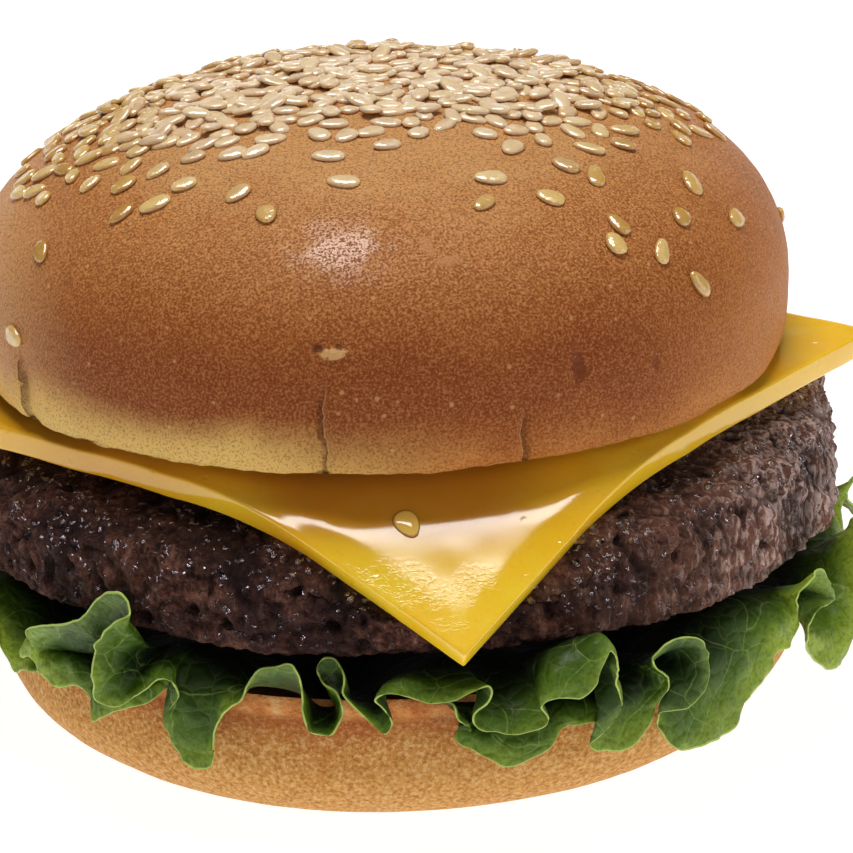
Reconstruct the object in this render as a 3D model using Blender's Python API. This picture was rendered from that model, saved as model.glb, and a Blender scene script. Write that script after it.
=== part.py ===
"""A cheeseburger at real size: bottom bun, ruffled lettuce leaf, beef patty, draped cheese slice and top bun.

Metres, +Z up. The front of the burger faces -Y. The origin is the centre of the bottom bun's flat underside.
A bearing is an angle round the burger from the front, in degrees, positive towards +X.
"""
import math

import bmesh
import bpy
from mathutils import Matrix, Vector, noise

MM = 0.001
GAP = 0.35 * MM                  # air between neighbouring pieces

SEGMENTS = 60                    # facets round each turned piece

# Bottom bun: a flat-bottomed disc with a full, rounded side and a cut upper face
HEEL_RADIUS = 52.25 * MM
HEEL_FLAT_RADIUS = 43.0 * MM
HEEL_WIDEST_Z = 9.2 * MM
HEEL_TOP_Z = 16.0 * MM
HEEL_CUT_RADIUS = 51.3 * MM
HEEL_ROUNDNESS = 1.85

# Top bun: a dome over a cut lower face, leaning back a little
CROWN_RADIUS = 52.0 * MM
CROWN_CUT_RADIUS = 50.7 * MM
CROWN_CUT_Z = 44.9 * MM
CROWN_WIDEST_Z = 52.5 * MM
CROWN_TOP_Z = 78.2 * MM
CROWN_DOME_ROUNDNESS = 2.4
CROWN_RIM_ROUNDNESS = 1.9
CROWN_CENTRE = (-1.2 * MM, 0.8 * MM)
CROWN_LEAN = -0.047              # radians about X

# Beef patty: a thick, hand-pressed disc
PATTY_RADIUS = 57.0 * MM
PATTY_BOTTOM_Z = 22.8 * MM
PATTY_WIDEST_Z = 28.5 * MM
PATTY_TOP_Z = 40.2 * MM
PATTY_UPPER_SQUARENESS = 6.0
PATTY_LOWER_SQUARENESS = 3.0
PATTY_SAG = 3.2 * MM             # the right side hangs this much lower
PATTY_SAG_FROM = 12.0 * MM
PATTY_LUMP = 1.0 * MM
PATTY_LUMP_SIZE = 9.0 * MM

# Cheese: one square slice, a corner to the front, bent down over the patty's edge
CHEESE_SIDE = 86.5 * MM
CHEESE_THICK = 3.0 * MM
CHEESE_CENTRE = (0.8 * MM, -7.5 * MM)
CHEESE_TURN = 0.114              # radians, front corner towards +X
CHEESE_TOP_Z = 43.6 * MM
CHEESE_SLOPE = (0.006, -0.023)   # rise for each metre along X and Y
CHEESE_CELLS = 14
# each corner bends down from a distance off the slice's centre, with a bend radius, up to an angle
CORNER_BENDS = {
    "front": (30.0 * MM, 22.0 * MM, 0.67),
    "right": (57.0 * MM, 40.0 * MM, 0.10),
    "back": (46.0 * MM, 34.0 * MM, 0.35),
    "left": (52.0 * MM, 34.0 * MM, 0.40),
}

# Lettuce: one leaf that runs between bottom bun and patty, its rim in ruffles all the way round
LEAF_THICK = 0.8 * MM
LEAF_FLAT_RADIUS = 38.0 * MM
LEAF_ROOT_RADIUS = 46.5 * MM
LEAF_MIDDLE_Z = 18.4 * MM
LEAF_ROOT_WAVE = 9               # waves round the root, between bottom bun and patty
LEAF_SAMPLES = 156
LEAF_ROWS = 4

# The ruffles along the front, each point as (root bearing, rim bearing, reach mm, height mm):
# where the leaf leaves the stack, and where its rim is
FRONT_RUFFLES = [
    (-74, -76, 61, 19),
    (-69, -71, 62, 25),
    (-64, -64, 61, 26),
    (-60, -60, 58, 19),
    (-57, -60, 57, 13),
    (-54, -54, 56, 14),
    (-51, -47, 55, 14),
    (-48, -44, 55.5, 11),
    (-46, -46, 56.5, 15),
    (-44, -49, 58, 18),
    (-42, -47, 60.5, 25),
    (-39, -41, 61, 27),
    (-37, -35, 61.5, 32),
    (-35, -31, 61.5, 33),
    (-33, -35, 63, 25),
    (-31, -33, 62.5, 20),
    (-29, -29, 59, 21),
    (-27, -30, 57, 15),
    (-25, -28, 56.5, 10),
    (-23, -25, 56.5, 10),
    (-21, -22, 57, 17),
    (-18, -18, 56, 22.5),
    (-15, -14, 55.5, 22.5),
    (-12.5, -12, 56.5, 18),
    (-10, -9, 57, 17),
    (-7.5, -7, 55.5, 22),
    (-5, -5, 56, 21),
    (-2.5, -2, 57, 16),
    (-0.5, -2, 58.5, 21.5),
    (2, 2, 60, 21.5),
    (5, 6, 60, 22),
    (7.5, 9.5, 60.5, 23),
    (9.5, 8.5, 61, 19),
    (12, 12, 60.5, 16.5),
    (15, 16, 60, 17),
    (17.5, 17, 60, 20.5),
    (20, 20, 60.5, 20),
    (22, 23, 62, 26),
    (24, 26, 59.5, 21),
    (26, 25, 57.5, 15),
    (28, 26, 57, 11),
    (30, 30, 57, 11.5),
    (32, 32, 60, 18),
    (33.5, 30, 61, 23),
    (35.5, 34, 61.5, 25.5),
    (37.5, 38, 60.5, 20),
    (39, 35, 58, 13.5),
    (41, 36, 56.5, 8),
    (43.5, 42, 56.5, 7),
    (46, 46, 57, 8),
    (49, 50, 58, 13),
    (52, 54, 60, 17),
    (54.5, 54, 62.5, 24),
    (57, 58, 62.5, 23),
    (59.5, 58, 61.5, 16),
    (62, 59, 62, 11.5),
    (65, 63, 62.5, 13),
    (69, 68, 62, 20),
    (74, 74, 61.5, 24),
]
# Round the back the ruffles repeat: this many, from the last front bearing round to the first
BACK_RUFFLES = 13
BACK_REACH = (57.5, 61.5)        # mm, shortest and longest
BACK_HEIGHT = (12.0, 24.0)       # mm, lowest and highest

COLOURS = {
    "bottom_bun": ((0.55, 0.30, 0.11), 0.75),
    "lettuce_leaf": ((0.05, 0.13, 0.02), 0.45),
    "beef_patty": ((0.06, 0.025, 0.018), 0.45),
    "cheese_slice": ((0.85, 0.50, 0.04), 0.30),
    "top_bun": ((0.42, 0.16, 0.045), 0.50),
}


def clear_scene():
    for item in list(bpy.data.objects):
        bpy.data.objects.remove(item, do_unlink=True)


def material(name):
    """Principled material in the piece's own colour."""
    colour, roughness = COLOURS[name]
    made = bpy.data.materials.new(name)
    made.use_nodes = True
    shader = made.node_tree.nodes["Principled BSDF"]
    shader.inputs["Base Color"].default_value = (*colour, 1.0)
    shader.inputs["Roughness"].default_value = roughness
    shader.inputs["Metallic"].default_value = 0.0
    return made


def finish_object(name, mesh_edit):
    """Turn a bmesh into a named object, with its faces outwards and its sides shaded smooth."""
    bmesh.ops.recalc_face_normals(mesh_edit, faces=mesh_edit.faces)
    mesh = bpy.data.meshes.new(name)
    mesh_edit.to_mesh(mesh)
    mesh_edit.free()
    mesh.shade_smooth()
    mesh.set_sharp_from_angle(angle=math.radians(40))
    item = bpy.data.objects.new(name, mesh)
    item.data.materials.append(material(name))
    bpy.context.scene.collection.objects.link(item)
    return item


def superellipse(inner, outer, low, high, roundness, steps):
    """Points of a quarter superellipse, from (outer, low) to (inner, high)."""
    points = []
    for step in range(steps + 1):
        angle = 0.5 * math.pi * step / steps
        across = max(math.cos(angle), 0.0) ** (2.0 / roundness)
        up = math.sin(angle) ** (2.0 / roundness)
        points.append((inner + (outer - inner) * across, low + (high - low) * up))
    return points


def turned(profile, segments=SEGMENTS):
    """Closed solid turned round Z from a profile that starts and ends on the axis."""
    mesh_edit = bmesh.new()
    corners = [mesh_edit.verts.new((radius, 0.0, height)) for radius, height in profile]
    edges = [mesh_edit.edges.new(pair) for pair in zip(corners, corners[1:])]
    bmesh.ops.spin(
        mesh_edit, geom=corners + edges, cent=(0, 0, 0), axis=(0, 0, 1),
        angle=2.0 * math.pi, steps=segments, use_merge=True,
    )
    bmesh.ops.remove_doubles(mesh_edit, verts=mesh_edit.verts, dist=0.00001)
    return mesh_edit


def unevenness(place, size, depth):
    """Soft bumps, the same at each run."""
    return depth * noise.noise(Vector(place) / size)


def make_bottom_bun():
    lower = superellipse(HEEL_FLAT_RADIUS, HEEL_RADIUS, HEEL_WIDEST_Z, 0.0, HEEL_ROUNDNESS, 7)
    upper = superellipse(HEEL_CUT_RADIUS, HEEL_RADIUS, HEEL_WIDEST_Z, HEEL_TOP_Z, 2.0, 3)
    profile = [(0.0, HEEL_TOP_Z)] + upper[::-1] + lower[1:] + [(0.0, 0.0)]
    mesh_edit = turned(profile)
    for corner in mesh_edit.verts:
        if 0.001 < corner.co.z < HEEL_TOP_Z - 0.001:
            outward = Vector((corner.co.x, corner.co.y, 0.0)).normalized()
            corner.co += outward * unevenness(corner.co, 0.03, 0.5 * MM)
    return finish_object("bottom_bun", mesh_edit)


def make_top_bun():
    dome = superellipse(0.0, CROWN_RADIUS, CROWN_WIDEST_Z, CROWN_TOP_Z, CROWN_DOME_ROUNDNESS, 10)
    rim = superellipse(CROWN_CUT_RADIUS, CROWN_RADIUS, CROWN_WIDEST_Z, CROWN_CUT_Z, CROWN_RIM_ROUNDNESS, 3)
    profile = dome[::-1] + rim[1:] + [(0.0, CROWN_CUT_Z)]
    mesh_edit = turned(profile)
    for corner in mesh_edit.verts:
        if corner.co.z > CROWN_CUT_Z + 0.001:
            outward = Vector((corner.co.x, corner.co.y, corner.co.z - CROWN_CUT_Z)).normalized()
            corner.co += outward * unevenness(corner.co, 0.035, 0.6 * MM)
    pivot = Matrix.Translation((CROWN_CENTRE[0], CROWN_CENTRE[1], CROWN_WIDEST_Z))
    lean = pivot @ Matrix.Rotation(CROWN_LEAN, 4, "X") @ Matrix.Translation((0, 0, -CROWN_WIDEST_Z))
    bmesh.ops.transform(mesh_edit, matrix=lean, verts=mesh_edit.verts)
    return finish_object("top_bun", mesh_edit)


def bend(distance, start, radius, most):
    """How far out a bent sheet reaches, how far it has dropped and its slope, at a distance along it."""
    beyond = max(distance - start, 0.0)
    slope = min(beyond / radius, most)
    straight = max(beyond - radius * most, 0.0)
    out = min(distance, start) + radius * math.sin(slope) + straight * math.cos(most)
    drop = radius * (1.0 - math.cos(slope)) + straight * math.sin(most)
    return out, drop, slope


def bend_below(out, start, radius, most):
    """How far a bent sheet has dropped, and its slope, below a point that is this far out."""
    beyond = max(out - start, 0.0)
    arc_end = radius * math.sin(most)
    if beyond < arc_end:
        slope = math.asin(beyond / radius)
        return radius * (1.0 - math.cos(slope)), slope
    return radius * (1.0 - math.cos(most)) + (beyond - arc_end) * math.tan(most), most


def cheese_directions():
    """The slice's front and right corner directions in plan."""
    front = Vector((math.sin(CHEESE_TURN), -math.cos(CHEESE_TURN), 0.0))
    right = Vector((math.cos(CHEESE_TURN), math.sin(CHEESE_TURN), 0.0))
    return front, right


def cheese_plane(x, y):
    return CHEESE_TOP_Z + CHEESE_SLOPE[0] * x + CHEESE_SLOPE[1] * y


def cheese_point(ahead, aside, below):
    """A point of the slice: ahead and aside of its centre on the sheet, and below its upper face."""
    front, right = cheese_directions()
    end = "front" if ahead > 0 else "back"
    side = "right" if aside > 0 else "left"
    out, drop, slope = bend(abs(ahead), *CORNER_BENDS[end])
    out_aside, drop_aside, slope_aside = bend(abs(aside), *CORNER_BENDS[side])
    out -= below * math.sin(slope)
    out_aside -= below * math.sin(slope_aside)
    sunk = drop + drop_aside + below * math.cos(slope) * math.cos(slope_aside)
    place = front * math.copysign(out, ahead) + right * math.copysign(out_aside, aside)
    x = CHEESE_CENTRE[0] + place.x
    y = CHEESE_CENTRE[1] + place.y
    return Vector((x, y, cheese_plane(x, y) - sunk))


def under_cheese(x, y):
    """Height of the slice's lower face over a place, as if the slice had no edge."""
    front, right = cheese_directions()
    place = Vector((x - CHEESE_CENTRE[0], y - CHEESE_CENTRE[1], 0.0))
    ahead = place.dot(front)
    aside = place.dot(right)
    drop, slope = bend_below(abs(ahead), *CORNER_BENDS["front" if ahead > 0 else "back"])
    drop_aside, slope_aside = bend_below(abs(aside), *CORNER_BENDS["right" if aside > 0 else "left"])
    steepest = max(slope, slope_aside)
    return cheese_plane(x, y) - drop - drop_aside - CHEESE_THICK / math.cos(steepest)


def make_cheese_slice():
    mesh_edit = bmesh.new()
    bmesh.ops.create_grid(
        mesh_edit, x_segments=CHEESE_CELLS, y_segments=CHEESE_CELLS, size=0.5 * CHEESE_SIDE,
        matrix=Matrix.Rotation(math.radians(45), 4, "Z"),
    )
    sheet = list(mesh_edit.verts)
    extruded = bmesh.ops.extrude_face_region(mesh_edit, geom=list(mesh_edit.faces))["geom"]
    lower = [item for item in extruded if isinstance(item, bmesh.types.BMVert)]
    lower_face = set(lower)
    for corner in list(mesh_edit.verts):
        below = CHEESE_THICK if corner in lower_face else 0.0
        corner.co = cheese_point(corner.co.x, corner.co.y, below)
    assert len(sheet) == len(lower)
    return finish_object("cheese_slice", mesh_edit)


def patty_sag(x):
    """How much lower the patty hangs towards its right side."""
    part = min(max((x - PATTY_SAG_FROM) / (PATTY_RADIUS - PATTY_SAG_FROM), 0.0), 1.0)
    return PATTY_SAG * part * part * (3.0 - 2.0 * part)


def under_patty(x):
    """Height of the patty's flat underside."""
    return PATTY_BOTTOM_Z - patty_sag(x)


def make_beef_patty():
    upper = superellipse(0.0, PATTY_RADIUS, PATTY_WIDEST_Z, PATTY_TOP_Z, PATTY_UPPER_SQUARENESS, 9)
    lower = superellipse(0.0, PATTY_RADIUS, PATTY_WIDEST_Z, PATTY_BOTTOM_Z, PATTY_LOWER_SQUARENESS, 7)
    mesh_edit = turned(upper[::-1] + lower[1:])
    for corner in mesh_edit.verts:
        outward = Vector((corner.co.x, corner.co.y, 3.0 * (corner.co.z - PATTY_WIDEST_Z))).normalized()
        corner.co += outward * unevenness(corner.co, PATTY_LUMP_SIZE, PATTY_LUMP)
        lowness = min(max((PATTY_TOP_Z - corner.co.z) / (PATTY_TOP_Z - PATTY_BOTTOM_Z), 0.0), 1.0)
        corner.co.z -= patty_sag(corner.co.x) * lowness
        corner.co.z = min(corner.co.z, under_cheese(corner.co.x, corner.co.y) - GAP)
        corner.co.z = max(corner.co.z, under_patty(corner.co.x))
    return finish_object("beef_patty", mesh_edit)


def on_bearing(bearing, reach, height):
    angle = math.radians(bearing)
    return Vector((reach * math.sin(angle), -reach * math.cos(angle), height))


def ruffle_points():
    """Root bearing and rim point of each ruffle point, once round the leaf."""
    points = []
    for root, bearing, reach, height in FRONT_RUFFLES:
        points.append((root, bearing, reach * MM, height * MM))
    first = FRONT_RUFFLES[0][0] + 360
    last = FRONT_RUFFLES[-1][0]
    steps = BACK_RUFFLES * 4
    for step in range(1, steps):
        bearing = last + (first - last) * step / steps
        phase = 0.5 * math.pi * step
        sway = 2.6 * math.sin(phase + 0.5 * math.pi) * (1 + 0.3 * math.sin(2.1 * step))
        reach_mix = 0.5 + 0.5 * math.sin(0.9 * step)
        height_mix = 0.5 + 0.5 * math.sin(phase) * (0.75 + 0.25 * math.sin(1.3 * step))
        reach = BACK_REACH[0] + (BACK_REACH[1] - BACK_REACH[0]) * reach_mix
        height = BACK_HEIGHT[0] + (BACK_HEIGHT[1] - BACK_HEIGHT[0]) * height_mix
        points.append((bearing, bearing + sway, reach * MM, height * MM))
    return points


def closed_curve(values, count):
    """Smooth closed curve through the values, read at evenly spaced places."""
    total = len(values)
    read = []
    for index in range(count):
        at = total * index / count
        start = int(at)
        part = at - start
        before, here, after, beyond = (values[(start + offset) % total] for offset in (-1, 0, 1, 2))
        slope_here = (after - before) * 0.5
        slope_after = (beyond - here) * 0.5
        square = part * part
        cube = square * part
        read.append(
            here * (2 * cube - 3 * square + 1) + slope_here * (cube - 2 * square + part)
            + after * (3 * square - 2 * cube) + slope_after * (cube - square)
        )
    return read


def leaf_lines():
    """The leaf's lines from the flat middle out to the rim, one list of points for each sample round it."""
    points = ruffle_points()
    rim = closed_curve([on_bearing(bearing, reach, height) for root, bearing, reach, height in points], LEAF_SAMPLES)
    roots = closed_curve([on_bearing(root, LEAF_ROOT_RADIUS, 0.0) for root, *rest in points], LEAF_SAMPLES)
    lines = []
    for end, start in zip(rim, roots):
        root = start.normalized() * LEAF_ROOT_RADIUS
        lowest = HEEL_TOP_Z + GAP + LEAF_THICK
        highest = under_patty(root.x) - GAP - LEAF_THICK
        wave = 0.5 + 0.5 * math.sin(LEAF_ROOT_WAVE * math.atan2(root.x, -root.y))
        root.z = lowest + (highest - lowest) * wave
        reach = Vector((end.x, end.y, 0.0)).length
        outwards = min(max(1.25 - (end.z / MM) * 0.02, 0.6), 1.05)
        knee_reach = LEAF_ROOT_RADIUS + (reach - LEAF_ROOT_RADIUS) * outwards
        side = Vector((start.x, start.y, 0.0)).normalized() * 0.6 + Vector((end.x, end.y, 0.0)).normalized() * 0.4
        knee = side.normalized() * knee_reach
        knee.z = root.z
        line = [start.normalized() * LEAF_FLAT_RADIUS + Vector((0, 0, LEAF_MIDDLE_Z))]
        for row in range(LEAF_ROWS + 1):
            part = row / LEAF_ROWS
            line.append(root * (1 - part) ** 2 + knee * 2 * part * (1 - part) + end * part ** 2)
        lines.append(line)
    return lines


def make_lettuce_leaf():
    mesh_edit = bmesh.new()
    rings = [[mesh_edit.verts.new(point) for point in ring] for ring in zip(*leaf_lines())]
    for inner, outer in zip(rings, rings[1:]):
        for index in range(LEAF_SAMPLES):
            after = (index + 1) % LEAF_SAMPLES
            mesh_edit.faces.new((inner[index], outer[index], outer[after], inner[after]))
    mesh_edit.faces.new(rings[0])
    leaf = finish_object("lettuce_leaf", mesh_edit)
    wall = leaf.modifiers.new("leaf thickness", "SOLIDIFY")
    wall.thickness = LEAF_THICK
    wall.offset = 0.0
    wall.use_even_offset = False
    return leaf


def main():
    clear_scene()
    make_bottom_bun()
    make_lettuce_leaf()
    make_beef_patty()
    make_cheese_slice()
    make_top_bun()


main()
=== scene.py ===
import math
import random

import bmesh
import bpy
from mathutils import Matrix, Vector, noise
from mathutils.bvhtree import BVHTree


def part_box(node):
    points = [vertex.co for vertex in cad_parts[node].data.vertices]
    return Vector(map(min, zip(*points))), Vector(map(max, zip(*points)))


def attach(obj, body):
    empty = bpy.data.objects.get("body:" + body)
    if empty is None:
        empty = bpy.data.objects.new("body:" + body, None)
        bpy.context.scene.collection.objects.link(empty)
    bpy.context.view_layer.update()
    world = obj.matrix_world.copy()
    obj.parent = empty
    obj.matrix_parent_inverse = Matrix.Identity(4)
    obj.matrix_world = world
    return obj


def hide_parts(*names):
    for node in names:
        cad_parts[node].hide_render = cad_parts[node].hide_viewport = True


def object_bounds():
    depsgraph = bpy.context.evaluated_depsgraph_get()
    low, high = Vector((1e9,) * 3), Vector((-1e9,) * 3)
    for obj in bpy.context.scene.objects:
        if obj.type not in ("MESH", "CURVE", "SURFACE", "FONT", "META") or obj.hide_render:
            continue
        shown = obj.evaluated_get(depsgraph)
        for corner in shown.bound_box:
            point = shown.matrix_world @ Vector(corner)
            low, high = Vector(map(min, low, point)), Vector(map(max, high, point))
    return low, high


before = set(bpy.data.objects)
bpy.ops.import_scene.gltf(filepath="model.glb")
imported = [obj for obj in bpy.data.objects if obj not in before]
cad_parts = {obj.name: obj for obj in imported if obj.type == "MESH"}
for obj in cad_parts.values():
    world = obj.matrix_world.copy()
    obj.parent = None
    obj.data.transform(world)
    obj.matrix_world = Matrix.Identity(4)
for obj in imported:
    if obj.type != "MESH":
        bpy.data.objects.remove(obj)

# The looks of a cheeseburger: seeded top bun, bent cheese slice, beef patty, ruffled lettuce leaf and
# bottom bun. Metres, +Z up, and the front of the burger faces -Y. A bearing is an angle round the burger
# from the front, in degrees, positive towards +X.

cad_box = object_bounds()
MM = 0.001
# The noise vectors start from the clock unless they are seeded
noise.seed_set(8)


# ---- sizes shared by the pieces

def box_sizes(node):
    """Lowest corner, highest corner and middle of a solid's box."""
    low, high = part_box(node)
    low = Vector(low)
    high = Vector(high)
    return low, high, (low + high) / 2


HEEL_LOW, HEEL_HIGH, HEEL_MIDDLE = box_sizes("bottom_bun")
HEEL_TOP_Z = HEEL_HIGH.z
HEEL_RADIUS = 52.25 * MM
HEEL_FLAT_RADIUS = 43.0 * MM
HEEL_CUT_RADIUS = 51.3 * MM
HEEL_WIDEST_Z = 9.2 * MM
HEEL_ROUNDNESS = 1.85

CROWN_RADIUS = 52.0 * MM
CROWN_CUT_RADIUS = 50.7 * MM
CROWN_CUT_Z = 44.9 * MM
CROWN_WIDEST_Z = 52.5 * MM
CROWN_TOP_Z = 78.2 * MM
CROWN_DOME_ROUNDNESS = 2.4
CROWN_RIM_ROUNDNESS = 1.9
CROWN_CENTRE = (-1.2 * MM, 0.8 * MM)
CROWN_LEAN = -0.047

PATTY_RADIUS = 57.0 * MM
PATTY_BOTTOM_Z = 22.8 * MM
PATTY_WIDEST_Z = 28.5 * MM
PATTY_TOP_Z = 40.2 * MM
PATTY_UPPER_SQUARENESS = 6.0
PATTY_LOWER_SQUARENESS = 3.0
PATTY_SAG = 3.2 * MM
PATTY_SAG_FROM = 12.0 * MM

CHEESE_SIDE = 86.5 * MM
CHEESE_THICK = 3.0 * MM
CHEESE_CENTRE = (0.8 * MM, -7.5 * MM)
CHEESE_TURN = 0.114
CHEESE_TOP_Z = 43.6 * MM
CHEESE_SLOPE = (0.006, -0.023)
CORNER_BENDS = {
    "front": (30.0 * MM, 22.0 * MM, 0.67),
    "right": (57.0 * MM, 40.0 * MM, 0.10),
    "back": (46.0 * MM, 34.0 * MM, 0.35),
    "left": (52.0 * MM, 34.0 * MM, 0.40),
}

LEAF_THICK = 0.24 * MM
LEAF_ROOT_RADIUS = 46.5 * MM
LEAF_MIDDLE_Z = 18.4 * MM
LEAF_ROOT_WAVES = 9


# ---- small maths

def smooth(value, low, high):
    """0 below low, 1 above high, and a soft step between them."""
    part = min(max((value - low) / (high - low), 0.0), 1.0)
    return part * part * (3.0 - 2.0 * part)


def hump(value, width):
    """A soft hump, 1 high at 0."""
    return math.exp(-(value / width) ** 2)


def superellipse(inner, outer, low, high, roundness, steps):
    """Points of a quarter superellipse, from (outer, low) to (inner, high)."""
    points = []
    for step in range(steps + 1):
        angle = 0.5 * math.pi * step / steps
        across = max(math.cos(angle), 0.0) ** (2.0 / roundness)
        up = math.sin(angle) ** (2.0 / roundness)
        points.append((inner + (outer - inner) * across, low + (high - low) * up))
    return points


def across(start, end, steps):
    """Profile points along a flat face, from radius start to radius end, without the first."""
    (radius, height), (end_radius, end_height) = start, end
    return [
        (radius + (end_radius - radius) * step / steps, height + (end_height - height) * step / steps)
        for step in range(1, steps + 1)
    ]


def spaced(profile, fine, coarse, fine_beyond):
    """The same outline with even steps: fine ones beyond a radius, coarse ones inside it."""
    points = [profile[0]]
    for (radius, height), (next_radius, next_height) in zip(profile, profile[1:]):
        step = fine if max(radius, next_radius) > fine_beyond else coarse
        run = math.hypot(next_radius - radius, next_height - height)
        gone = math.hypot(radius - points[-1][0], height - points[-1][1])
        while gone + run > step:
            share = (step - gone) / run
            radius += (next_radius - radius) * share
            height += (next_height - height) * share
            points.append((radius, height))
            run -= step - gone
            gone = 0.0
    return points + [profile[-1]]


def bearing_of(place):
    return math.degrees(math.atan2(place.x, -place.y))


def on_bearing(bearing, reach, height):
    angle = math.radians(bearing)
    return Vector((reach * math.sin(angle), -reach * math.cos(angle), height))


def unevenness(place, *waves):
    """Soft bumps, the same at each run, from waves of a size and a depth in millimetres."""
    return sum(depth * MM * noise.noise(Vector(place) / (size * MM)) for size, depth in waves)


# ---- mesh pieces

# Points nearer than this are one point
WELD_DISTANCE = 0.000005


def turned(profile, segments):
    """Closed solid of a profile that starts and ends on the axis: a grid wrapped round Z."""
    rows = len(profile) - 1
    mesh_edit = bmesh.new()
    bmesh.ops.create_grid(mesh_edit, x_segments=segments, y_segments=rows, size=0.5)
    for corner in mesh_edit.verts:
        angle = 2.0 * math.pi * (corner.co.x + 0.5)
        radius, height = profile[round((corner.co.y + 0.5) * rows)]
        corner.co = (radius * math.sin(angle), -radius * math.cos(angle), height)
    bmesh.ops.remove_doubles(mesh_edit, verts=mesh_edit.verts, dist=WELD_DISTANCE)
    bmesh.ops.recalc_face_normals(mesh_edit, faces=mesh_edit.faces)
    return mesh_edit


def finished_mesh(name, mesh_edit):
    mesh = bpy.data.meshes.new(name)
    mesh_edit.to_mesh(mesh)
    mesh_edit.free()
    return mesh


def in_scene(name, data):
    """A new object of the scene."""
    thing = bpy.data.objects.new(name, data)
    bpy.context.scene.collection.objects.link(thing)
    return thing


def new_piece(name, mesh_edit, finish, node=None, sharp=None):
    """A finished piece that rides with the burger, and stands for a solid if node is given."""
    mesh = finished_mesh(name, mesh_edit)
    mesh.shade_smooth()
    if sharp:
        mesh.set_sharp_from_angle(angle=math.radians(sharp))
    mesh.materials.append(finish)
    piece = in_scene(name, mesh)
    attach(piece, "root")
    if node:
        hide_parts(node)
    return piece


# ---- finishes

def shade(red, green, blue):
    """Linear colour from a screen colour of 0 to 255."""
    return tuple(
        (part / 255 / 12.92) if part <= 10 else ((part / 255 + 0.055) / 1.055) ** 2.4
        for part in (red, green, blue)
    ) + (1.0,)


def operator(operation, swapped=False):
    """A method of Value for an arithmetic sign, where the value comes second if swapped."""
    def join(self, other):
        return self.maths(operation, other, self) if swapped else self.maths(operation, self, other)
    return join


class Value:
    """A number or colour in a finish. Arithmetic with it adds Math nodes."""

    def __init__(self, finish, socket):
        self.finish = finish
        self.socket = socket

    __add__, __radd__ = operator("ADD"), operator("ADD", True)
    __sub__, __rsub__ = operator("SUBTRACT"), operator("SUBTRACT", True)
    __mul__, __rmul__ = operator("MULTIPLY"), operator("MULTIPLY", True)
    __truediv__, __rtruediv__ = operator("DIVIDE"), operator("DIVIDE", True)

    def maths(self, operation, *terms):
        return self.finish.node("ShaderNodeMath", {"operation": operation}, dict(enumerate(terms)))

    def at_least(self, least):
        return self.maths("MAXIMUM", self, least)

    def root(self):
        return self.maths("SQRT", self)

    def tint(self, share, red, green, blue):
        """This colour with a share of a screen colour over it."""
        return self.finish.mix(share, self, shade(red, green, blue))

    def step(self, low, high):
        """0 below low and 1 above high, softly. With high below low it runs the other way."""
        settings = {"interpolation_type": "SMOOTHSTEP"}
        if low > high:
            return 1 - self.finish.node("ShaderNodeMapRange", settings, {0: self, 1: high, 2: low})
        return self.finish.node("ShaderNodeMapRange", settings, {0: self, 1: low, 2: high})


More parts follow.
